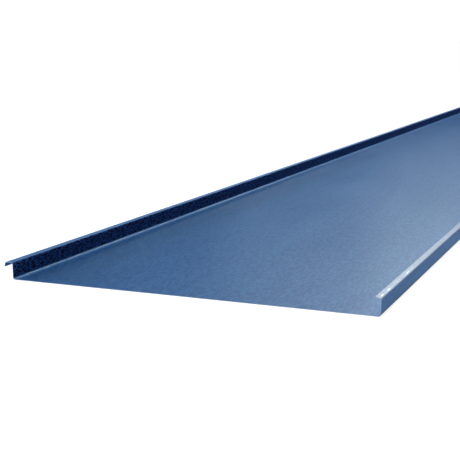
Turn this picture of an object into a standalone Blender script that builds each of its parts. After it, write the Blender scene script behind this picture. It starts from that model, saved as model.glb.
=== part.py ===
"""A coated steel roofing sheet for a double-lock standing seam roof.

One strip of thin coated steel, roll-formed into a shallow tray: a wide flat pan, an overlap rib on
its left edge and an underlap rib on its right edge. Units are metres, and +Z is up. +X runs across
the sheet towards the underlap rib, +Y runs along it. The origin is the middle of the pan's underside.

The sheet is drawn as the cross-section of its reverse face, corner by corner. Every corner gets its
bend, the coated face lies one sheet thickness inside it, and the section is extruded to length.
"""

import math

import bmesh
import bpy
from mathutils import Vector

# The strip
SHEET_LENGTH = 4.0
SHEET_THICKNESS = 0.0005

# The pan, measured between the outer faces of the two ribs
PAN_WIDTH = 0.550

# The overlap rib, on the left: it stands upright and folds outwards, over the next sheet's
# underlap rib. Its flange climbs towards the lip, and the lip splays outwards.
OVERLAP_RISE = 0.0243
OVERLAP_FLANGE = 0.0120
OVERLAP_FLANGE_TILT = math.radians(3.0)
OVERLAP_LIP = 0.0068
OVERLAP_LIP_SPLAY = math.radians(14.0)

# The underlap rib, on the right: it leans outwards a little and folds inwards, and the next
# sheet's overlap rib covers it. Its flange climbs towards its edge.
UNDERLAP_RISE = 0.0234
UNDERLAP_LEAN = math.radians(2.0)
UNDERLAP_FLANGE = 0.0084
UNDERLAP_FLANGE_TILT = math.radians(15.0)

# Radii on the inside of each bend
OVERLAP_FOOT_RADIUS = 0.0018
UNDERLAP_FOOT_RADIUS = 0.0025
RIB_TOP_RADIUS = 0.0010
LIP_RADIUS = 0.0008

# Each bend is an arc of this many straight facets
FOOT_FACETS = 8
TOP_FACETS = 6

SHEET_COLOUR = (0.082, 0.165, 0.315, 1.0)
SHEET_ROUGHNESS = 0.42


def clear_scene():
    """Remove every object that the scene opened with."""
    for item in list(bpy.data.objects):
        bpy.data.objects.remove(item, do_unlink=True)


def heading(angle):
    """A unit vector in the cross-section, at an angle from +X towards +Z."""
    return Vector((math.cos(angle), math.sin(angle)))


def section_corners():
    """The sharp corners of the reverse face, from the lip's edge to the underlap flange's edge.

    Each corner is a point in the cross-section, the radius inside its bend and its facets.
    The two ends have no bend.
    """
    upright = math.pi / 2
    outwards = math.pi
    overlap_foot = Vector((-PAN_WIDTH / 2, 0.0))
    overlap_top = overlap_foot + OVERLAP_RISE * heading(upright)
    overlap_edge = overlap_top + OVERLAP_FLANGE * heading(outwards - OVERLAP_FLANGE_TILT)
    lip_tip = overlap_edge + OVERLAP_LIP * heading(-upright - OVERLAP_LIP_SPLAY)

    underlap_foot = Vector((PAN_WIDTH / 2, 0.0))
    underlap_top = underlap_foot + UNDERLAP_RISE * heading(upright - UNDERLAP_LEAN)
    underlap_tip = underlap_top + UNDERLAP_FLANGE * heading(outwards - UNDERLAP_FLANGE_TILT)

    return [
        (lip_tip, None, 0),
        (overlap_edge, LIP_RADIUS, TOP_FACETS),
        (overlap_top, RIB_TOP_RADIUS, TOP_FACETS),
        (overlap_foot, OVERLAP_FOOT_RADIUS, FOOT_FACETS),
        (underlap_foot, UNDERLAP_FOOT_RADIUS, FOOT_FACETS),
        (underlap_top, RIB_TOP_RADIUS, TOP_FACETS),
        (underlap_tip, None, 0),
    ]


def left_of(direction):
    """The unit vector a quarter turn to the left, which is the side that the coat is on."""
    return Vector((-direction.y, direction.x))


def square_end(corner, direction):
    """The reverse and coated points of a square-cut edge."""
    return [(corner, corner + SHEET_THICKNESS * left_of(direction))]


def bend(before, corner, after, inner_radius, facets):
    """The reverse and coated points around one bend.

    A left turn has the coat on its inside, so the reverse face has the larger radius there.
    """
    incoming = (corner - before).normalized()
    outgoing = (after - corner).normalized()
    turn = math.atan2(incoming.cross(outgoing), incoming.dot(outgoing))
    side = math.copysign(1.0, turn)
    reverse_radius = inner_radius + (SHEET_THICKNESS if side > 0 else 0.0)
    coated_radius = reverse_radius - side * SHEET_THICKNESS
    setback = reverse_radius * math.tan(abs(turn) / 2)
    start = corner - setback * incoming
    centre = start + side * reverse_radius * left_of(incoming)
    first_spoke = (start - centre).normalized()
    points = []
    for step in range(facets + 1):
        angle = math.atan2(first_spoke.y, first_spoke.x) + turn * step / facets
        spoke = heading(angle)
        points.append((centre + reverse_radius * spoke, centre + coated_radius * spoke))
    return points


def section_outline():
    """The closed outline of the sheet's cross-section: along the reverse face, back on the coat."""
    corners = section_corners()
    places = [place for place, _, _ in corners]
    pairs = square_end(places[0], (places[1] - places[0]).normalized())
    for index in range(1, len(corners) - 1):
        _, inner_radius, facets = corners[index]
        pairs += bend(places[index - 1], places[index], places[index + 1], inner_radius, facets)
    pairs += square_end(places[-1], (places[-1] - places[-2]).normalized())
    reverse_face = [pair[0] for pair in pairs]
    coated_face = [pair[1] for pair in pairs]
    return reverse_face + coated_face[::-1]


def coated_steel():
    """Blue coated steel: a satin paint film over a metallic-coated strip."""
    material = bpy.data.materials.new("coated_steel")
    material.use_nodes = True
    shader = material.node_tree.nodes["Principled BSDF"]
    shader.inputs["Base Color"].default_value = SHEET_COLOUR
    shader.inputs["Roughness"].default_value = SHEET_ROUGHNESS
    shader.inputs["Metallic"].default_value = 0.0
    material.diffuse_color = SHEET_COLOUR
    return material


def roof_sheet():
    """The whole sheet: its cross-section at the near end, extruded to the far end."""
    form = bmesh.new()
    near_end = -SHEET_LENGTH / 2
    outline = [form.verts.new((point.x, near_end, point.y)) for point in section_outline()]
    section = form.faces.new(outline)
    extruded = bmesh.ops.extrude_face_region(form, geom=[section], use_keep_orig=True)
    far_points = [item for item in extruded["geom"] if isinstance(item, bmesh.types.BMVert)]
    bmesh.ops.translate(form, verts=far_points, vec=(0.0, SHEET_LENGTH, 0.0))
    bmesh.ops.recalc_face_normals(form, faces=form.faces)

    mesh = bpy.data.meshes.new("roof_sheet")
    form.to_mesh(mesh)
    form.free()
    mesh.materials.append(coated_steel())
    mesh.shade_smooth()
    mesh.set_sharp_from_angle(angle=math.radians(40.0))
    sheet = bpy.data.objects.new("roof_sheet", mesh)
    bpy.context.scene.collection.objects.link(sheet)
    return sheet


clear_scene()
roof_sheet()
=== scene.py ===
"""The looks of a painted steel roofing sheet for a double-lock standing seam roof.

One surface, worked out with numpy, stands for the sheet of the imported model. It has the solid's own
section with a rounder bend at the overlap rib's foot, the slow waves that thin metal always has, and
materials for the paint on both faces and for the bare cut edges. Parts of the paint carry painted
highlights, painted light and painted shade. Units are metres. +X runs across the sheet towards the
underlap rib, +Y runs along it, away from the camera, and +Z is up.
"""

import logging
import math
from dataclasses import dataclass, field
from enum import Enum

import bpy
import numpy as np
from mathutils import Matrix, Vector


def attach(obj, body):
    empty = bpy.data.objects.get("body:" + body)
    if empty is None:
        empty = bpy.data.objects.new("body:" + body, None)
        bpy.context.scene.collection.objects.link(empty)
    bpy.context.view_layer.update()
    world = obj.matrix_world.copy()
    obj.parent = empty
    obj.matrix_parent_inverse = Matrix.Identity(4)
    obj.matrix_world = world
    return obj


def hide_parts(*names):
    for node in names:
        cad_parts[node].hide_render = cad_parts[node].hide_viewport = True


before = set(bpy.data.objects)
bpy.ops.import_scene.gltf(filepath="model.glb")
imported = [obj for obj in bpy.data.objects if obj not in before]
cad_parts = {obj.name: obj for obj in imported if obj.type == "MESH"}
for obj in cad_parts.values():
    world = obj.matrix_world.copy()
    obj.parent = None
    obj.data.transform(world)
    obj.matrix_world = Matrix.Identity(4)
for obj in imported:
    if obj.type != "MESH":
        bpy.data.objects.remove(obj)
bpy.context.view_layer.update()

log = logging.getLogger("roof_sheet")

Colour = tuple[float, float, float, float]
NodeTree = bpy.types.NodeTree
Socket = bpy.types.NodeSocket


class Side(Enum):
    """The surfaces of the strip. The value is the index of the material that a face there takes."""

    COATED = 0
    REVERSE = 1
    CUT = 2
    # The overlap web's coated face, whose near-black paint is painted shade.
    WEB = 3


# The section


@dataclass(frozen=True)
class Walk:
    """A walk across the strip from the lip's edge to the underlap flange's edge.

    Every array has one entry for each point of the walk.

    Attributes:
        reverse: places on the reverse face, as X and Z.
        coated: places on the coated face, one thickness to the left of the walk.
        across: distance walked, measured on the flat strip.
        bend: 1 in the middle of a bend with the coat outside, -1 in one with the coat inside,
            0 on the flats.
    """

    reverse: np.ndarray
    coated: np.ndarray
    across: np.ndarray
    bend: np.ndarray


@dataclass
class SeamSection:
    """The cross-section of the sheet: a pan, an overlap rib with a lip, and an underlap rib.

    Its lengths are to the sharp corners of the reverse face.

    Attributes:
        bend_radii: the inside radius of each bend, counted from the lip.
        bend_steps: how many steps each bend has.
        flat_steps: how many steps each flat between them has.
    """

    thickness: float = 0.0005
    pan_width: float = 0.550
    overlap_rise: float = 0.0243
    overlap_flange: float = 0.0120
    overlap_flange_tilt: float = math.radians(3.0)
    overlap_lip: float = 0.0068
    overlap_lip_splay: float = math.radians(14.0)
    underlap_rise: float = 0.0234
    underlap_lean: float = math.radians(2.0)
    underlap_flange: float = 0.0084
    underlap_flange_tilt: float = math.radians(15.0)
    bend_radii: tuple[float, ...] = (0.0008, 0.0010, 0.0028, 0.0025, 0.0010)
    bend_steps: tuple[int, ...] = (8, 8, 10, 10, 8)
    flat_steps: tuple[int, ...] = (3, 6, 8, 60, 6, 4)

    def corners(self) -> np.ndarray:
        """The sharp corners of the reverse face, found by walking from each rib's foot.

        Returns:
            Seven places as X and Z: lip edge, lip bend, overlap top, overlap foot, underlap foot,
            underlap top and underlap flange edge.
        """
        upright, outwards = math.pi / 2, math.pi
        left_foot = np.array([-self.pan_width / 2, 0.0])
        left_top = left_foot + self.overlap_rise * heading(upright)
        left_edge = left_top + self.overlap_flange * heading(outwards - self.overlap_flange_tilt)
        lip_edge = left_edge + self.overlap_lip * heading(-upright - self.overlap_lip_splay)
        right_foot = np.array([self.pan_width / 2, 0.0])
        right_top = right_foot + self.underlap_rise * heading(upright - self.underlap_lean)
        right_edge = right_top + self.underlap_flange * heading(outwards - self.underlap_flange_tilt)
        return np.stack([lip_edge, left_edge, left_top, left_foot, right_foot, right_top, right_edge])

    def walk(self) -> Walk:
        """Walks the section, with an arc in place of each corner.

        An arc whose inside has the coat runs on the larger radius along the reverse face. Its two
        ends lie one setback from the corner, which is its radius times the tangent of half its turn.

        Returns:
            The points of both faces, with their distances and bends.
        """
        corners = self.corners()
        legs = np.diff(corners, axis=0)
        legs /= np.linalg.norm(legs, axis=1, keepdims=True)
        reverse, coated, bend = [], [], []
        start = corners[0]
        for index, leg in enumerate(legs):
            last = index == len(legs) - 1
            if last:
                end, arc = corners[-1], None
            else:
                end, arc = self.round_off(corners[index + 1], leg, legs[index + 1], index)
            share = np.linspace(0.0, 1.0, self.flat_steps[index] + 1)[:, None]
            flat = start + share * (end - start)
            flat = flat if last else flat[:-1]
            flat = flat if index == 0 else flat[1:]
            reverse.append(flat)
            coated.append(flat + self.thickness * left_of(leg))
            bend.append(np.zeros(len(flat)))
            if arc is not None:
                reverse.append(arc[0])
                coated.append(arc[1])
                bend.append(arc[2])
                start = arc[0][-1]
        inner, outer = np.concatenate(reverse), np.concatenate(coated)
        middle = (inner + outer) / 2
        across = np.concatenate([[0.0], np.cumsum(np.linalg.norm(np.diff(middle, axis=0), axis=1))])
        return Walk(inner, outer, across, np.concatenate(bend))

    def round_off(
        self, corner: np.ndarray, leg: np.ndarray, next_leg: np.ndarray, index: int
    ) -> tuple[np.ndarray, tuple[np.ndarray, np.ndarray, np.ndarray]]:
        """Rounds one corner of the section.

        Args:
            corner: the sharp corner's place.
            leg: the unit vector that arrives there.
            next_leg: the unit vector that leaves.
            index: which bend it is, counted from the lip.

        Returns:
            Where the arc starts, and its reverse points, coated points and bend values.
        """
        turn = math.atan2(leg[0] * next_leg[1] - leg[1] * next_leg[0], float(leg @ next_leg))
        side = math.copysign(1.0, turn)
        reverse_radius = self.bend_radii[index] + (self.thickness if side > 0 else 0.0)
        coated_radius = reverse_radius - side * self.thickness
        start = corner - reverse_radius * math.tan(abs(turn) / 2) * leg
        centre = start + side * reverse_radius * left_of(leg)
        share = np.linspace(0.0, 1.0, self.bend_steps[index] + 1)
        first = math.atan2(*(start - centre)[::-1])
        spokes = heading(first + turn * share)
        hump = -side * np.sin(math.pi * share)
        return start, (centre + reverse_radius * spokes, centre + coated_radius * spokes, hump)


def heading(angle: float | np.ndarray) -> np.ndarray:
    """Unit vectors in the section, at an angle from +X towards +Z."""
    return np.stack([np.cos(angle), np.sin(angle)], axis=-1)


def left_of(direction: np.ndarray) -> np.ndarray:
    """The unit vector a quarter turn to the left of a direction in the section."""
    return np.array([-direction[1], direction[0]])


# The sheet


@dataclass(frozen=True)
class Wave:
    """A slow sine over the flat strip.

    Attributes:
        height: how high its crests are, as a share of the height of the waves that it is one of.
        along: its turn in radians for each metre along the sheet.
        across: its turn in radians for each metre across the flat strip.
        phase: its angle in radians at the lip's edge, halfway along the sheet.
    """

    height: float
    along: float
    across: float = 0.0
    phase: float = 0.0

    def at(self, across: np.ndarray, along: np.ndarray) -> np.ndarray:
        """The height times the sine of both turns and the phase together."""
        return self.height * np.sin(self.along * along + self.across * across + self.phase)


@dataclass(frozen=True)
class FilmZones:
    """Where on the section highlights and light are painted into the film, and its gloss changes.

    Attributes:
        burnished_and_painted_highlight_share: the underlap flange, smoother and painted pale as a
        highlight, starts above this share of its rib's rise.
        painted_lit_flange_share: the overlap flange, painted lighter as painted light, starts above
        this share of its rib's rise.
        lit_rib_start: the height at which the underlap rib starts to be painted lighter, as painted
            light.
        lit_rib_run: the height over which that painted light rises.
        highlight_gain: how many times the foot bend's own value the painted highlight is, up to 1.
        highlight_top: the height at which the painted highlight has ended.
        highlight_run: the height over which it weakens.
        fade_strength: how strong the painted highlight is where the pan starts.
        fade_reach: how far over the pan it fades out.
        pan_top: what lies lower on the reverse face than this counts as pan.
    """

    burnished_and_painted_highlight_share: float = 0.96
    painted_lit_flange_share: float = 0.90
    lit_rib_start: float = 0.001
    lit_rib_run: float = 0.002
    highlight_gain: float = 1.5
    highlight_top: float = 0.00325
    highlight_run: float = 0.0025
    fade_strength: float = 0.85
    fade_reach: float = 0.010
    pan_top: float = 0.0005

    def mark(self, walk: Walk, section: SeamSection) -> dict[str, np.ndarray]:
        """Marks the zones on the walk.

        The underlap flange is smoother and painted pale as a highlight, and the overlap flange is
        painted lighter, as painted light. The underlap rib is painted lighter too, as painted light,
        rising evenly from 0 to 1 over lit_rib_run. The painted highlight at the overlap rib's foot
        lies on its bend, strongest in its lower half, and it falls evenly to 0 over fade_reach of the
        pan.

        Args:
            walk: the section's points.
            section: the section that was walked.

        Returns:
            One value from 0 to 1 for each point of the walk, by the zone's name.
        """
        place, height = walk.reverse[:, 0], walk.reverse[:, 1]
        left, right = place < 0.0, place > 0.0
        inwards = place + section.pan_width / 2
        # The underlap rib's painted light: lighter paint that rises from its foot.
        painted_lit_rib = np.clip((height - self.lit_rib_start) / self.lit_rib_run, 0.0, 1.0)
        # The foot's painted highlight: lighter paint on the foot bend, fading over the pan beside it.
        folded = np.clip(-self.highlight_gain * walk.bend, 0.0, 1.0)
        folded = folded * np.clip((self.highlight_top - height) / self.highlight_run, 0.0, 1.0)
        fading = self.fade_strength * np.clip(1.0 - inwards / self.fade_reach, 0.0, 1.0)
        painted_foot_highlight = np.maximum(folded, fading * (height < self.pan_top))
        return {
            "burnished_and_painted_highlight": (right & (height > self.burnished_and_painted_highlight_share * section.underlap_rise)).astype(float),
            "painted_lit_flange": (left & (height > self.painted_lit_flange_share * section.overlap_rise)).astype(float),
            "painted_lit_rib": painted_lit_rib * right,
            "painted_foot_highlight": painted_foot_highlight * left,
        }


@dataclass
class RoofSheet:
    """The strip: its section carried along the length, with the waves of thin metal.

    Attributes:
        stations: how many times the section is placed along the length.
        pan_wave: the most that the pan rises.
        overlap_wave: the height of the waves along the overlap flange's edge.
        underlap_wave: the height of the waves along the underlap flange's edge.
        overlap_sag: how far those of the overlap flange lie too low, as a share of their height.
        still_margin: how far from each rib's outer face the pan lies still.
        window_power: how square the pan's window is; less is squarer.
        pan_top: what lies lower on the reverse face than this waves with the pan.
        flange_share: what lies higher than this share of the lower rib may wave with a flange.
        web_margin: how far outside the overlap web its flange starts to wave.
        painted_shade_start: the height at which the overlap web's near-black paint, which is
            painted shade, starts.
        painted_shade_reach: how far outside the web that painted shade goes on, over the bend
            at the top.
        edge_wear: the distance over which the wear falls to a third from a free edge.
        sharp_angle: faces that meet at more than this stay sharp.
    """

    section: SeamSection = field(default_factory=SeamSection)
    length: float = 4.0
    stations: int = 241
    pan_wave: float = 0.00016
    overlap_wave: float = 0.0005
    underlap_wave: float = 0.00006
    overlap_sag: float = 0.85
    still_margin: float = 0.004
    window_power: float = 0.75
    pan_top: float = 0.002
    flange_share: float = 0.9
    web_margin: float = 0.0002
    painted_shade_start: float = 0.0028
    painted_shade_reach: float = 0.00102
    edge_wear: float = 0.0007
    sharp_angle: float = math.radians(40.0)
    pan_waves: tuple[Wave, ...] = (
        Wave(1.0, along=3.1, across=9.0),
        Wave(0.7, along=7.3, across=-14.0, phase=1.3),
        Wave(0.4, along=13.7, across=5.0, phase=0.4),
    )
    overlap_waves: tuple[Wave, ...] = (
        Wave(1.0, along=1.57, phase=-0.55),
        Wave(0.3, along=4.5, phase=4.51),
    )
    underlap_waves: tuple[Wave, ...] = (Wave(1.0, along=5.3, phase=0.6),)

    def rise(self, across: np.ndarray, along: np.ndarray, walk: Walk) -> np.ndarray:
        """How far the metal rises at each point of the grid.

        The pan rises by pan_wave times the sum of its waves, brought to between 0 and 1, times a
        window that is 0 at both feet and 1 in the middle: 1 less the squared share of the way to the
        margin, to the power window_power. Each flange rises and falls by the sum of its own waves,
        less overlap_sag on the overlap flange, times the share of the way from web to free edge.

        Args:
            across: distance over the strip, as a row.
            along: place along the sheet, as a column.
            walk: the walk that the row belongs to.

        Returns:
            Heights on the grid, in metres.
        """
        half = self.section.pan_width / 2
        place, height = walk.reverse[:, 0], walk.reverse[:, 1]
        swell, left, right = (
            sum(wave.at(across, along) for wave in waves)
            for waves in (self.pan_waves, self.overlap_waves, self.underlap_waves)
        )
        most = sum(wave.height for wave in self.pan_waves)
        inside = np.clip(1.0 - (place / (half - self.still_margin)) ** 2, 0.0, 1.0)
        window = inside**self.window_power * (height < self.pan_top)
        pan = window * (swell + most) / (2 * most)
        out_left = np.clip((-half - place) / self.section.overlap_flange, 0.0, 1.0)
        out_left = np.where(place < -half - self.web_margin, out_left, 0.0)
        out_right = np.clip((half - place) / self.section.underlap_flange, 0.0, 1.0)
        high = height > self.flange_share * min(self.section.overlap_rise, self.section.underlap_rise)
        out_right = np.where(high & (place > 0.0), out_right, 0.0)
        flanges = self.overlap_wave * out_left * (left - self.overlap_sag)
        return self.pan_wave * pan + flanges + self.underlap_wave * out_right * right

    def grid(self, walk: Walk, along: np.ndarray) -> tuple[np.ndarray, np.ndarray]:
        """Carries both faces of the section along the sheet.

        Each point is the section's X, the station's Y, and the section's Z plus the rise there.

        Args:
            walk: the section's points.
            along: the stations' places along the sheet.

        Returns:
            The coated and the reverse grid, each stations by points by 3.
        """
        lift = self.rise(walk.across[None, :], along[:, None], walk)
        faces = []
        for face in (walk.coated, walk.reverse):
            places = np.empty((len(along), len(face), 3))
            places[..., 0] = face[:, 0]
            places[..., 1] = along[:, None]
            places[..., 2] = face[:, 1] + lift
            faces.append(places)
        return faces[0], faces[1]

    def quads(self, walk: Walk) -> tuple[np.ndarray, np.ndarray]:
        """The faces of the closed strip, as corner numbers that turn outwards.

        Corner numbers count the coated grid first and then the reverse grid, station by station.
        The overlap rib's web, with the bend above it, is a side of its own, painted near black as
        painted shade.

        Args:
            walk: the section's points.

        Returns:
            The quads, and the material index of each.
        """
        points = len(walk.across)
        half = self.section.pan_width / 2
        place, height = walk.reverse[:, 0], walk.reverse[:, 1]
        # The overlap web and the bend above it take the near-black paint that is painted shade.
        in_painted_shade = (height > self.painted_shade_start) & (place > -half - self.painted_shade_reach) & (place < 0.0)
        front = np.where(in_painted_shade[:-1] & in_painted_shade[1:], Side.WEB.value, Side.COATED.value)
        coated = np.arange(self.stations * points).reshape(self.stations, points)
        reverse = coated + self.stations * points
        skin = [coated[:-1, :-1], coated[:-1, 1:], coated[1:, 1:], coated[1:, :-1]]
        back = [reverse[:-1, :-1], reverse[1:, :-1], reverse[1:, 1:], reverse[:-1, 1:]]
        lip = [coated[:-1, 0], coated[1:, 0], reverse[1:, 0], reverse[:-1, 0]]
        flange = [coated[1:, -1], coated[:-1, -1], reverse[:-1, -1], reverse[1:, -1]]
        near = [coated[0, :-1], reverse[0, :-1], reverse[0, 1:], coated[0, 1:]]
        far = [coated[-1, 1:], reverse[-1, 1:], reverse[-1, :-1], coated[-1, :-1]]
        parts = [
            np.stack([corner.ravel() for corner in part], axis=1)
            for part in (skin, back, lip, flange, near, far)
        ]
        quads = np.concatenate(parts)
        sides = np.full(len(quads), Side.CUT.value)
        sides[: len(parts[0])] = np.tile(front, self.stations - 1)
        sides[len(parts[0]) :][: len(parts[1])] = Side.REVERSE.value
        return quads, sides

    def rubbed(self, walk: Walk) -> np.ndarray:
        """How much each point of both grids is rubbed in handling, from 0 to 1.

        It is the bend's value on the side where the bend stands proud, or, if that is more, a
        falling exponential of the distance from the nearer free edge, over edge_wear.

        Args:
            walk: the section's points.

        Returns:
            One row for the coated face and one for the reverse face.
        """
        to_edge = np.minimum(walk.across, walk.across[-1] - walk.across)
        edge = np.exp(-to_edge / self.edge_wear)
        return np.stack([np.maximum(np.clip(sign * walk.bend, 0.0, 1.0), edge) for sign in (1, -1)])

    def build(self) -> bpy.types.Object:
        """Builds the strip's mesh, with its map of the flat strip and its rubbed places.

        Returns:
            The object, at the origin, with its place in its mesh.
        """
        walk = self.section.walk()
        along = np.linspace(-self.length / 2, self.length / 2, self.stations)
        coated, reverse = self.grid(walk, along)
        places = np.concatenate([coated.reshape(-1, 3), reverse.reshape(-1, 3)])
        faces, sides = self.quads(walk)
        mesh = mesh_of("roof_sheet_skin", places, faces)
        mesh.polygons.foreach_set("material_index", sides.astype(np.int32))

        flat = np.stack(np.broadcast_arrays(walk.across[None, :], along[:, None]), axis=-1)
        flat = np.concatenate([flat.reshape(-1, 2)] * 2)
        strip_map = mesh.uv_layers.new(name="flat_strip")
        strip_map.uv.foreach_set("vector", flat[faces.ravel()].astype(np.float32).ravel())

        rubbed = np.repeat(self.rubbed(walk)[:, None, :], self.stations, axis=1)
        marks = {"rubbed": rubbed}
        for label, values in FilmZones().mark(walk, self.section).items():
            marks[label] = np.tile(values, 2 * self.stations)
        for label, values in marks.items():
            layer = mesh.attributes.new(label, "FLOAT", "POINT")
            layer.data.foreach_set("value", values.astype(np.float32).ravel())

        mesh.shade_smooth()
        mesh.set_sharp_from_angle(angle=self.sharp_angle)
        sheet = bpy.data.objects.new("roof_sheet_skin", mesh)
        bpy.context.scene.collection.objects.link(sheet)
        return sheet


def mesh_of(name: str, places: np.ndarray, faces: np.ndarray) -> bpy.types.Mesh:
    """Puts arrays of places and quads into a new mesh.

    Args:
        name: the mesh's name.
        places: places, one row each.
        faces: corner numbers, four to a row.

    Returns:
        The mesh.
    """
    mesh = bpy.data.meshes.new(name)
    mesh.vertices.add(len(places))
    mesh.vertices.foreach_set("co", places.astype(np.float32).ravel())
    mesh.loops.add(faces.size)
    mesh.loops.foreach_set("vertex_index", faces.astype(np.int32).ravel())
    mesh.polygons.add(len(faces))
    mesh.polygons.foreach_set("loop_start", np.arange(0, faces.size, 4, dtype=np.int32))
    mesh.update(calc_edges=True)
    mesh.validate()
    return mesh


# Finishes


def node(tree: NodeTree, kind: str, **settings: object) -> bpy.types.Node:
    """Adds a node and sets its properties.

    Args:
        tree: where it goes.
        kind: the node's type name.
        settings: properties by name; a name that is a socket's, with _ for a space, sets the socket.

    Returns:
        The node.
    """
    made = tree.nodes.new(kind)
    for name, value in settings.items():
        if hasattr(made, name):
            setattr(made, name, value)
        else:
            made.inputs[name.replace("_", " ")].default_value = value
    return made


def maths(tree: NodeTree, operation: str, *terms: Socket | float) -> Socket:
    """Adds a Math node.

    Args:
        tree: where it goes.
        operation: the operation's name.
        terms: its inputs, each a socket or a number.

    Returns:
        Its output.
    """
    made = node(tree, "ShaderNodeMath", operation=operation)
    for slot, term in zip(made.inputs, terms):
        if isinstance(term, (int, float)):
            slot.default_value = term
        else:
            tree.links.new(term, slot)
    return made.outputs[0]


class PaintGrain:
    """A node group: the grain of a coil paint film, drawn out along the strip by the rolls.

    Attributes:
        grain_scale: cells of the coarsest noise to one grain.
        streak_scale: cells of the streaks to the metre, across and along the strip.
        cloud_scale: cells of the clouding to the metre, likewise.
    """

    name = "coil_paint_grain"
    grain_scale = 0.25
    streak_scale = (80.0, 7.0, 1.0)
    cloud_scale = (14.0, 3.5, 1.0)

    def __init__(self) -> None:
        """Builds the group once."""
        self.group = bpy.data.node_groups.new(self.name, "ShaderNodeTree")
        add = self.group.interface.new_socket
        add("Place", in_out="INPUT", socket_type="NodeSocketVector")
        for label, value in (("Grain Width", 0.003), ("Grain Length", 0.02)):
            add(label, in_out="INPUT", socket_type="NodeSocketFloat").default_value = value
        for label in ("Mottle", "Streak", "Cloud", "Strain"):
            add(label, in_out="INPUT", socket_type="NodeSocketFloat").default_value = 0.5
        for label in ("Tone", "Gloss", "Height"):
            add(label, in_out="OUTPUT", socket_type="NodeSocketFloat")
        self.fill()

    def fill(self) -> None:
        """Makes tone, gloss and height from three noises over the flat strip.

        The grain noise counts in grains: four grain sizes across at its coarsest, and halved twice.
        The streak noise is a finger wide and a hand long, and the cloud noise is a hand wide. Tone
        is 0.5 plus each noise times its own amount, gloss is the cloud alone, and height is the
        grain plus the cloud times the strain.
        """
        tree = self.group
        entry = node(tree, "NodeGroupInput")
        leave = node(tree, "NodeGroupOutput")
        grains = node(tree, "ShaderNodeVectorMath", operation="DIVIDE")
        size = node(tree, "ShaderNodeCombineXYZ", Z=1.0)
        tree.links.new(entry.outputs["Grain Width"], size.inputs["X"])
        tree.links.new(entry.outputs["Grain Length"], size.inputs["Y"])
        tree.links.new(entry.outputs["Place"], grains.inputs[0])
        tree.links.new(size.outputs["Vector"], grains.inputs[1])
        grain = node(tree, "ShaderNodeTexNoise", noise_dimensions="2D", Scale=self.grain_scale)
        grain.inputs["Detail"].default_value = 2.0
        grain.inputs["Roughness"].default_value = 1.0
        tree.links.new(grains.outputs["Vector"], grain.inputs["Vector"])
        fine = maths(tree, "SUBTRACT", grain.outputs["Fac"], 0.5)
        streak = self.drawn(entry.outputs["Place"], self.streak_scale, detail=2.0)
        slow = self.drawn(entry.outputs["Place"], self.cloud_scale, detail=3.0)
        tone = maths(tree, "MULTIPLY_ADD", fine, entry.outputs["Mottle"], 0.5)
        tone = maths(tree, "MULTIPLY_ADD", streak, entry.outputs["Streak"], tone)
        tone = maths(tree, "MULTIPLY_ADD", slow, entry.outputs["Cloud"], tone)
        tree.links.new(tone, leave.inputs["Tone"])
        tree.links.new(slow, leave.inputs["Gloss"])
        height = maths(tree, "MULTIPLY_ADD", slow, entry.outputs["Strain"], grain.outputs["Fac"])
        tree.links.new(height, leave.inputs["Height"])

    def drawn(self, place: Socket, scale: tuple[float, float, float], detail: float) -> Socket:
        """Adds a noise that is stretched over the flat strip.

        Args:
            place: the socket of the place on the strip.
            scale: noise cells to the metre, across and along the strip.
            detail: how many times the noise is halved in size and added to itself.

        Returns:
            The noise less 0.5, so that it swings about 0.
        """
        stretch = node(self.group, "ShaderNodeMapping", vector_type="POINT")
        stretch.inputs["Scale"].default_value = scale
        noise = node(self.group, "ShaderNodeTexNoise", noise_dimensions="2D", Scale=1.0)
        noise.inputs["Detail"].default_value = detail
        self.group.links.new(place, stretch.inputs["Vector"])
        self.group.links.new(stretch.outputs["Vector"], noise.inputs["Vector"])
        return maths(self.group, "SUBTRACT", noise.outputs["Fac"], 0.5)

    def place(self, tree: NodeTree, **values: float) -> bpy.types.Node:
        """Puts the group into a material, fed by the flat strip's map.

        Args:
            tree: the material's nodes.
            values: the group's inputs by name, with _ for a space.

        Returns:
            The group's node.
        """
        made = node(tree, "ShaderNodeGroup", node_tree=self.group, **values)
        strip = node(tree, "ShaderNodeUVMap", uv_map="flat_strip")
        tree.links.new(strip.outputs["UV"], made.inputs["Place"])
        return made


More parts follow.
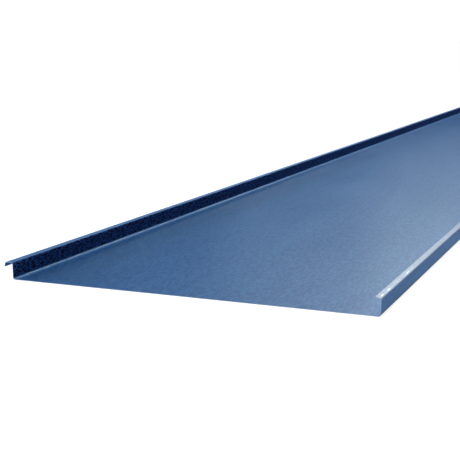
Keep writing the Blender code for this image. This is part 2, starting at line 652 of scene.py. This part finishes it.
class HandlingWear:
    """A node group: where handling has rubbed the paint on crests and free edges.

    Attributes:
        nick_scale: cells of the nicks to the metre, across and along the strip.
        unworn_limit: how strong a nick has to be to go through the film, where there is no wear.
        limit_fall: how much lower that limit is at full wear.
        nick_edge: how steeply a nick's edge rises from film to bare metal.
    """

    name = "handling_wear"
    nick_scale = (1100.0, 22.0, 1.0)
    unworn_limit = 0.82
    limit_fall = 0.25
    nick_edge = 18.0

    def __init__(self) -> None:
        """Builds the group once."""
        self.group = bpy.data.node_groups.new(self.name, "ShaderNodeTree")
        add = self.group.interface.new_socket
        add("Place", in_out="INPUT", socket_type="NodeSocketVector")
        add("Rubbed", in_out="INPUT", socket_type="NodeSocketFloat")
        add("Amount", in_out="INPUT", socket_type="NodeSocketFloat").default_value = 0.5
        for label in ("Polished", "Bare"):
            add(label, in_out="OUTPUT", socket_type="NodeSocketFloat")
        self.fill()

    def fill(self) -> None:
        """Makes two masks from the rubbed places.

        Polished is the rubbed value times the amount. Bare is where a noise drawn out along the
        strip, times the rubbed value, passes a threshold that falls as the amount grows.
        """
        tree = self.group
        entry = node(tree, "NodeGroupInput")
        leave = node(tree, "NodeGroupOutput")
        drawn = node(tree, "ShaderNodeMapping", vector_type="POINT")
        drawn.inputs["Scale"].default_value = self.nick_scale
        nicks = node(tree, "ShaderNodeTexNoise", noise_dimensions="2D", Scale=1.0, Detail=3.0)
        tree.links.new(entry.outputs["Place"], drawn.inputs["Vector"])
        tree.links.new(drawn.outputs["Vector"], nicks.inputs["Vector"])
        rubbed, amount = entry.outputs["Rubbed"], entry.outputs["Amount"]
        tree.links.new(maths(tree, "MULTIPLY", rubbed, amount), leave.inputs["Polished"])
        worn = maths(tree, "MULTIPLY", nicks.outputs["Fac"], rubbed)
        limit = maths(tree, "MULTIPLY_ADD", amount, -self.limit_fall, self.unworn_limit)
        over = maths(tree, "MULTIPLY", maths(tree, "SUBTRACT", worn, limit), self.nick_edge)
        bare = node(tree, "ShaderNodeClamp")
        tree.links.new(over, bare.inputs["Value"])
        tree.links.new(bare.outputs["Result"], leave.inputs["Bare"])

    def place(self, tree: NodeTree, amount: float) -> bpy.types.Node:
        """Puts the group into a material, fed by the strip's map and its rubbed places.

        Args:
            tree: the material's nodes.
            amount: how much wear this finish has, from 0 to 1.

        Returns:
            The group's node.
        """
        made = node(tree, "ShaderNodeGroup", node_tree=self.group, Amount=amount)
        strip = node(tree, "ShaderNodeUVMap", uv_map="flat_strip")
        rubbed = node(tree, "ShaderNodeAttribute", attribute_name="rubbed")
        tree.links.new(strip.outputs["UV"], made.inputs["Place"])
        tree.links.new(rubbed.outputs["Fac"], made.inputs["Rubbed"])
        return made


@dataclass(frozen=True)
class Scuffs:
    """A broken line of scuffs that runs along the strip.

    Attributes:
        track: how far the line lies from the lip's edge, measured on the flat strip.
        half_width: half the line's width, in metres.
        marks: the middle of each scuff along the sheet, and half its length.
        steepness: how many times narrower a scuff's soft edge is than half the scuff.
    """

    track: float
    half_width: float
    marks: tuple[tuple[float, float], ...]
    steepness: float = 3.0

    def mask(self, tree: NodeTree) -> Socket:
        """Draws the scuffs on the flat strip's map.

        Args:
            tree: the material's nodes.

        Returns:
            A mask that is 1 in the scuffs and 0 outside, with a soft edge.
        """
        strip = node(tree, "ShaderNodeUVMap", uv_map="flat_strip")
        place = node(tree, "ShaderNodeSeparateXYZ")
        tree.links.new(strip.outputs["UV"], place.inputs["Vector"])
        line = self.window(tree, place.outputs["X"], self.track, self.half_width)
        lengths = [self.window(tree, place.outputs["Y"], *mark) for mark in self.marks]
        broken = lengths[0]
        for length in lengths[1:]:
            broken = maths(tree, "MAXIMUM", broken, length)
        return maths(tree, "MULTIPLY", line, broken)

    def window(self, tree: NodeTree, value: Socket, middle: float, half: float) -> Socket:
        """Makes a window over a value.

        It is 0.5 plus the steepness times 1 less the share of half a width that the value is away
        from the middle, cut to between 0 and 1.

        Args:
            tree: the material's nodes.
            value: the value that the window is over.
            middle: where the window's middle lies.
            half: half the window's width.

        Returns:
            A mask that is 1 inside the window and 0 outside, and 0.5 half a width from its middle.
        """
        away = maths(tree, "ABSOLUTE", maths(tree, "SUBTRACT", value, middle))
        falling = maths(tree, "MULTIPLY_ADD", away, -self.steepness / half, self.steepness + 0.5)
        inside = node(tree, "ShaderNodeClamp")
        tree.links.new(falling, inside.inputs["Value"])
        return inside.outputs["Result"]


@dataclass(frozen=True)
class Zone:
    """A part of a face where the film has other tones and roughness, for painted highlights and light.

    Attributes:
        attribute: the mesh attribute that is 1 inside the zone and 0 outside.
        deep: the darkest tone there.
        light: the lightest tone there.
        roughness: the film's roughness there.
        contrast: how many times more strongly the grain changes the tone there.
    """

    attribute: str
    deep: Colour
    light: Colour
    roughness: float
    contrast: float = 1.0


@dataclass(frozen=True)
class PaintFilm:
    """A blue coil paint film on zinc-coated steel.

    Attributes:
        deep: the darkest tone of the paint.
        light: its lightest tone.
        zinc: the metal that shows where the film is worn through.
        sheen: the film's specular level.
        roughness: its roughness as it comes from the coil.
        grain_width: the width of the finest grain across the strip, in metres.
        grain_length: its length along the strip.
        mottle: how much the grain changes the tone.
        streak: how much the streaks of the coating rolls change it.
        cloud: how much slow clouding changes it.
        gloss_drift: how much the clouding changes the roughness.
        peel_depth: the height of the grain, in metres.
        strain_depth: the height of the slow waves that rolling leaves in the metal under the film.
        wear: how far handling has worn the film, from 0 to 1.
        polish: how much smoother the film is where it is rubbed most.
        zones: the parts of the face where it looks different, painted highlights and light among them.
        scuffs: a line of scuffs that go through the film, or None.
    """

    name: str
    deep: Colour = (0.000, 0.078, 0.297, 1.0)
    light: Colour = (0.056, 0.210, 0.490, 1.0)
    zinc: Colour = (0.80, 0.82, 0.85, 1.0)
    sheen: float = 0.5
    roughness: float = 0.30
    grain_width: float = 0.0008
    grain_length: float = 0.0045
    mottle: float = 3.6
    streak: float = 0.60
    cloud: float = 0.15
    gloss_drift: float = 0.05
    peel_depth: float = 0.00018
    strain_depth: float = 0.00030
    wear: float = 0.35
    polish: float = 0.04
    zones: tuple[Zone, ...] = ()
    scuffs: Scuffs | None = None

    def material(self, grain: PaintGrain, wear: HandlingWear) -> bpy.types.Material:
        """Makes the film's material.

        Args:
            grain: the paint grain group.
            wear: the wear group.

        Returns:
            The material.
        """
        made = bpy.data.materials.new(self.name)
        made.use_nodes = True
        tree = made.node_tree
        shader = tree.nodes["Principled BSDF"]
        shader.inputs["Specular IOR Level"].default_value = self.sheen
        film = grain.place(
            tree,
            Grain_Width=self.grain_width,
            Grain_Length=self.grain_length,
            Mottle=self.mottle,
            Streak=self.streak,
            Cloud=self.cloud,
            Strain=self.strain_depth / self.peel_depth,
        )
        rub = wear.place(tree, self.wear)
        paint = blend(tree, film.outputs["Tone"], self.deep, self.light)
        matt = maths(tree, "MULTIPLY_ADD", film.outputs["Gloss"], self.gloss_drift, self.roughness)
        # Each zone paints a highlight or light into the tone and changes the roughness.
        for zone in self.zones:
            inside = node(tree, "ShaderNodeAttribute", attribute_name=zone.attribute)
            tone = maths(tree, "SUBTRACT", film.outputs["Tone"], 0.5)
            tone = maths(tree, "MULTIPLY_ADD", tone, zone.contrast, 0.5)
            there = blend(tree, tone, zone.deep, zone.light)
            paint = blend(tree, inside.outputs["Fac"], paint, there)
            change = zone.roughness - self.roughness
            matt = maths(tree, "MULTIPLY_ADD", inside.outputs["Fac"], change, matt)
        matt = maths(tree, "MULTIPLY_ADD", rub.outputs["Polished"], -self.polish, matt)
        bare = rub.outputs["Bare"]
        if self.scuffs is not None:
            bare = maths(tree, "MAXIMUM", bare, self.scuffs.mask(tree))
        tree.links.new(blend(tree, bare, paint, self.zinc), shader.inputs["Base Color"])
        tree.links.new(bare, shader.inputs["Metallic"])
        tree.links.new(matt, shader.inputs["Roughness"])
        bump = node(tree, "ShaderNodeBump", Strength=1.0, Distance=self.peel_depth)
        tree.links.new(film.outputs["Height"], bump.inputs["Height"])
        tree.links.new(bump.outputs["Normal"], shader.inputs["Normal"])
        return made


@dataclass(frozen=True)
class CutSteel:
    """The sheared edge of the strip, bare steel with fine shear marks.

    Attributes:
        dark: the darkest tone between the marks.
        bright: the brightest tone on them.
        roughness: the middle of the edge's roughness.
        drift: how much the marks change the roughness.
        mark_scale: cells of the marks to the metre.
    """

    name: str = "cut_steel"
    dark: Colour = (0.20, 0.28, 0.38, 1.0)
    bright: Colour = (0.40, 0.50, 0.62, 1.0)
    roughness: float = 0.45
    drift: float = 0.2
    mark_scale: float = 1400.0

    def material(self) -> bpy.types.Material:
        """Makes the edge's material, whose tone and roughness follow one fine noise.

        Returns:
            The material.
        """
        made = bpy.data.materials.new(self.name)
        made.use_nodes = True
        tree = made.node_tree
        shader = tree.nodes["Principled BSDF"]
        shader.inputs["Metallic"].default_value = 1.0
        place = node(tree, "ShaderNodeTexCoord")
        marks = node(tree, "ShaderNodeTexNoise", Scale=self.mark_scale, Detail=3.0)
        tree.links.new(place.outputs["Object"], marks.inputs["Vector"])
        colour = blend(tree, marks.outputs["Fac"], self.dark, self.bright)
        tree.links.new(colour, shader.inputs["Base Color"])
        least = self.roughness - self.drift / 2
        matt = maths(tree, "MULTIPLY_ADD", marks.outputs["Fac"], self.drift, least)
        tree.links.new(matt, shader.inputs["Roughness"])
        return made


def blend(tree: NodeTree, share: Socket, first: Socket | Colour, second: Socket | Colour) -> Socket:
    """Mixes two colours.

    Args:
        tree: where the Mix node goes.
        share: how much of the second colour shows.
        first: a colour, or the socket that gives it.
        second: likewise.

    Returns:
        The mixed colour.
    """
    made = node(tree, "ShaderNodeMix", data_type="RGBA", clamp_factor=True)
    tree.links.new(share, made.inputs["Factor"])
    for slot, colour in ((made.inputs[6], first), (made.inputs[7], second)):
        if isinstance(colour, bpy.types.NodeSocket):
            tree.links.new(colour, slot)
        else:
            slot.default_value = colour
    return made.outputs[2]


# The studio


COOL_WHITE = (0.820, 0.960, 1.0)


@dataclass(frozen=True)
class Panel:
    """A rectangular soft box near the sheet.

    Attributes:
        place: its centre.
        facing: the direction that it shines in.
        width: its horizontal side, in metres.
        height: its other side.
        power: in watts.
        colour: the light's colour.
    """

    name: str
    place: tuple[float, float, float]
    facing: tuple[float, float, float]
    width: float
    height: float
    power: float
    colour: tuple[float, float, float] = COOL_WHITE

    def hang(self) -> None:
        """Hangs the soft box, out of the camera's sight."""
        light = bpy.data.lights.new(self.name, "AREA")
        light.shape = "RECTANGLE"
        light.size, light.size_y = self.width, self.height
        light.energy = self.power
        light.color = self.colour
        lamp = bpy.data.objects.new(self.name, light)
        lamp.location = self.place
        lamp.rotation_mode = "QUATERNION"
        lamp.rotation_quaternion = (-Vector(self.facing)).to_track_quat("Z", "Y")
        lamp.visible_camera = False
        bpy.context.scene.collection.objects.link(lamp)


@dataclass(frozen=True)
class Camera:
    """The photograph's view. Yaw turns from +Y towards +X, and pitch looks down.

    Attributes:
        place: where the camera stands.
        yaw: in degrees, as are pitch and roll.
        focal_pixels: the focal length in pixels of the photograph.
        picture_pixels: how many pixels wide the photograph is.
        sensor_width: in millimetres, the usual one, from which the lens is worked out.
    """

    place: tuple[float, float, float] = (0.5870, -3.1791, 0.3425)
    yaw: float = -23.613
    pitch: float = 10.811
    roll: float = -0.600
    focal_pixels: float = 1002.55
    picture_pixels: int = 460
    sensor_width: float = 36.0

    def stand(self) -> None:
        """Puts the camera in place, as three axes worked out from its angles, and uses it."""
        yaw, pitch, roll = (math.radians(a) for a in (self.yaw, self.pitch, self.roll))
        ahead = Vector(
            (math.sin(yaw) * math.cos(pitch), math.cos(yaw) * math.cos(pitch), -math.sin(pitch))
        )
        level = ahead.cross(Vector((0.0, 0.0, 1.0))).normalized()
        above = level.cross(ahead)
        right = level * math.cos(roll) + above * math.sin(roll)
        up = right.cross(ahead)
        lens = bpy.data.cameras.new("camera")
        lens.sensor_width = self.sensor_width
        lens.lens = self.sensor_width * self.focal_pixels / self.picture_pixels
        lens.clip_start, lens.clip_end = 0.01, 1000.0
        camera = bpy.data.objects.new("camera", lens)
        turn = Matrix((right, up, -ahead)).transposed()
        camera.matrix_world = Matrix.Translation(self.place) @ turn.to_4x4()
        bpy.context.scene.collection.objects.link(camera)
        bpy.context.scene.camera = camera


@dataclass
class Studio:
    """A wide pale floor, a low pale wall on the horizon, soft lamps and a dim room.

    Attributes:
        floor_rings: the radii of the floor's inner rings.
        floor_reach: the floor's radius, where the wall stands.
        wall_height: how high the wall's top is.
        floor_level: how high the floor lies.
        floor_colour: what the floor and wall look like to the light that falls on them.
        seen_colour: what they look like to the camera.
        seen_fall: how far the glow falls short of white to the camera, as a share of its own fall.
        near_glow: how strongly they glow up to near_reach from the origin.
        near_reach: how far from the origin the glow starts to rise.
        far_reach: how far from the origin it has risen to white.
        matt: their roughness.
        room_colour: the room's dim light.
        lamps: the soft boxes.
    """

    floor_rings: tuple[float, ...] = (0.001, 3.0, 12.0)
    floor_reach: float = 150.0
    wall_height: float = 7.2
    floor_level: float = -0.0003
    floor_colour: Colour = (0.86, 0.80, 0.78, 1.0)
    seen_colour: Colour = (0.32, 0.29, 0.28, 1.0)
    seen_fall: float = 0.40
    near_glow: float = 0.76
    near_reach: float = 2.2
    far_reach: float = 3.6
    matt: float = 0.9
    room_colour: Colour = (0.012, 0.012, 0.013, 1.0)
    lamps: tuple[Panel, ...] = (
        Panel("far_key", (-0.6, 3.6, 4.4), (0.0, -1.0, 0.0), 1.2, 0.8, 151.0),
        Panel("far_right_high", (0.6, 3.6, 3.6), (0.0, -1.0, 0.0), 1.2, 0.8, 39.0),
        Panel("far_right", (0.6, 3.6, 2.8), (0.0, -1.0, 0.0), 1.2, 0.8, 20.0),
        Panel("far_low", (0.0, 3.6, 2.0), (0.0, -1.0, 0.0), 2.4, 0.8, 24.0),
        Panel("far_low_left", (-1.8, 3.6, 2.0), (0.0, -1.0, 0.0), 1.2, 0.8, 4.3),
        Panel("far_corner_high", (-3.75, 3.6, 4.2), (0.0, -1.0, 0.0), 2.7, 1.2, 12.7),
        Panel("far_corner", (-3.0, 3.6, 2.8), (0.0, -1.0, 0.0), 1.2, 1.2, 4.0),
        Panel("left_low", (-3.0, -2.0, 0.5), (1.0, 0.0, 0.0), 2.0, 0.8, 130.0),
        Panel("left_high", (-3.0, -2.0, 1.6), (1.0, 0.0, 0.0), 2.0, 1.2, 26.8),
        Panel("top", (0.0, 0.0, 2.6), (0.0, 0.0, -1.0), 1.2, 1.6, 17.7),
        Panel("top_near", (0.0, -2.4, 2.6), (0.0, 0.0, -1.0), 1.2, 1.6, 9.7),
    )

    def pale(self, name: str) -> bpy.types.Material:
        """A pale matt surface that shows lighter where it is seen directly or mirrored.

        The glow rises smoothly from near_glow, at near_reach from the origin, to white at far_reach,
        and shows like that in what mirrors it. Seen directly, it falls short of white by seen_fall
        times as much. The lamps' light comes on top of it, on the colour seen_colour there, so that
        the sheet's shadow stays but is faint.

        Args:
            name: the material's name.

        Returns:
            The material.
        """
        made = bpy.data.materials.new(name)
        made.use_nodes = True
        tree = made.node_tree
        shader = tree.nodes["Principled BSDF"]
        shader.inputs["Roughness"].default_value = self.matt
        shader.inputs["Specular IOR Level"].default_value = 0.0
        shader.inputs["Emission Color"].default_value = (1.0, 1.0, 1.0, 1.0)
        place = node(tree, "ShaderNodeTexCoord")
        reach = node(tree, "ShaderNodeVectorMath", operation="LENGTH")
        tree.links.new(place.outputs["Object"], reach.inputs[0])
        glow = node(tree, "ShaderNodeMapRange", interpolation_type="SMOOTHSTEP")
        tree.links.new(reach.outputs["Value"], glow.inputs["Value"])
        glow.inputs["From Min"].default_value = self.near_reach
        glow.inputs["From Max"].default_value = self.far_reach
        glow.inputs["To Min"].default_value = self.near_glow
        glow.inputs["To Max"].default_value = 1.0
        ray = node(tree, "ShaderNodeLightPath")
        direct, glossy = ray.outputs["Is Camera Ray"], ray.outputs["Is Glossy Ray"]
        colour = blend(tree, direct, self.floor_colour, self.seen_colour)
        tree.links.new(colour, shader.inputs["Base Color"])
        seen = maths(tree, "MULTIPLY_ADD", glow.outputs["Result"], self.seen_fall, 1.0 - self.seen_fall)
        mirrored = maths(tree, "MAXIMUM", glossy, ray.outputs["Is Transmission Ray"])
        lit = maths(tree, "MULTIPLY", mirrored, glow.outputs["Result"])
        lit = maths(tree, "MAXIMUM", lit, maths(tree, "MULTIPLY", direct, seen))
        tree.links.new(lit, shader.inputs["Emission Strength"])
        return made

    def turned(self, name: str, profile: np.ndarray, steps: int = 96) -> bpy.types.Object:
        """A surface of revolution about Z: each profile point's radius and height, turned.

        Args:
            name: the object's name.
            profile: radius and height, one row each, from the inside out.
            steps: how many steps the turn takes.

        Returns:
            The staged object.
        """
        angle = np.linspace(0.0, 2 * math.pi, steps, endpoint=False)
        ring = np.stack([np.cos(angle), np.sin(angle)], axis=-1)
        places = np.empty((len(profile), steps, 3))
        places[..., :2] = profile[:, None, :1] * ring[None]
        places[..., 2] = profile[:, 1:]
        number = np.arange(len(profile) * steps).reshape(len(profile), steps)
        after = np.roll(number, -1, axis=1)
        faces = np.stack([number[:-1], number[1:], after[1:], after[:-1]], axis=-1).reshape(-1, 4)
        made = bpy.data.objects.new(name, mesh_of(name, places.reshape(-1, 3), faces))
        bpy.context.scene.collection.objects.link(made)
        return made

    def light_room(self) -> None:
        """Fills the room with a plain dim light."""
        room = bpy.data.worlds.new("room")
        room.use_nodes = True
        room.node_tree.nodes["Background"].inputs["Color"].default_value = self.room_colour
        bpy.context.scene.world = room

    def build(self) -> None:
        """Builds the floor, the wall, the room and the lamps."""
        level = self.floor_level
        flat = np.array([[radius, level] for radius in (*self.floor_rings, self.floor_reach)])
        floor = self.turned("floor", flat)
        floor.data.materials.append(self.pale("pale_floor"))
        rise = np.array([[self.floor_reach, level], [self.floor_reach, self.wall_height]])
        wall = self.turned("wall", rise)
        wall.data.materials.append(self.pale("pale_wall"))
        self.light_room()
        for lamp in self.lamps:
            lamp.hang()
        bpy.context.scene.view_settings.view_transform = "Standard"


def dress(sheet: bpy.types.Object, strip_width: float) -> None:
    """Gives the strip its four finishes, in the order of Side's values.

    Args:
        sheet: the strip.
        strip_width: the width of the flat strip, in metres.
    """
    grain, wear = PaintGrain(), HandlingWear()
    # Painted highlight: lighter, rougher paint along the overlap rib's foot bend and the pan beside it.
    foot = Zone("painted_foot_highlight", (0.075, 0.235, 0.540, 1.0), (0.130, 0.370, 0.780, 1.0), roughness=0.42)
    # Painted light: the overlap flange's top is painted lighter than the rest of the coated face.
    cap = Zone("painted_lit_flange", (0.048, 0.158, 0.385, 1.0), (0.090, 0.237, 0.530, 1.0), roughness=0.40)
    # Painted light: the underlap rib's outer face is painted lighter, for light bounced up from the
    # floor.
    rib = Zone(
        "painted_lit_rib", (0.027, 0.225, 0.625, 1.0), (0.040, 0.310, 0.865, 1.0), roughness=0.62, contrast=0.5
    )
    # Partly painted highlight: the underlap flange's top is painted pale as a highlight, and is
    # smoother.
    flange = Zone("burnished_and_painted_highlight", (0.27, 0.30, 0.49, 1.0), (0.35, 0.39, 0.62, 1.0), roughness=0.30)
    scuffs_from_edge = 0.0050
    near_scuffs = Scuffs(
        track=strip_width - scuffs_from_edge,
        half_width=0.00040,
        marks=(
            (-1.986, 0.0055),
            (-1.954, 0.0050),
            (-1.908, 0.0020),
            (-1.897, 0.0020),
            (-1.852, 0.0070),
            (-1.825, 0.0020),
        ),
    )
    coated = PaintFilm("coated_face", zones=(foot, cap))
    reverse = PaintFilm(
        "reverse_face",
        deep=(0.012, 0.075, 0.200, 1.0),
        light=(0.024, 0.150, 0.400, 1.0),
        roughness=0.62,
        zones=(rib, flange),
        scuffs=near_scuffs,
    )
    # Painted shade: near-black paint with a strong random mottle on the overlap rib's side that faces
    # the pan.
    web = PaintFilm(
        "painted_shade_web_face",
        deep=(0.0001, 0.0005, 0.004, 1.0),
        light=(0.042, 0.143, 0.455, 1.0),
        sheen=0.09,
        roughness=0.75,
        grain_width=0.0009,
        grain_length=0.0020,
        mottle=9.0,
        peel_depth=0.00006,
        wear=0.0,
    )
    finishes = {
        Side.COATED: coated.material(grain, wear),
        Side.REVERSE: reverse.material(grain, wear),
        Side.CUT: CutSteel().material(),
        Side.WEB: web.material(grain, wear),
    }
    for side in Side:
        sheet.data.materials.append(finishes[side])


def main() -> None:
    """Builds the sheet, the studio and the camera."""
    strip = RoofSheet()
    sheet = strip.build()
    dress(sheet, float(strip.section.walk().across[-1]))
    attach(sheet, "root")
    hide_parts("roof_sheet")
    log.info("%s: %d faces", sheet.name, len(sheet.data.polygons))
    Studio().build()
    log.info("studio: floor, wall and %d lamps", len(Studio.lamps))
    Camera().stand()


if __name__ == "__main__":
    logging.basicConfig(level=logging.INFO, format="%(name)s: %(message)s")
    main()
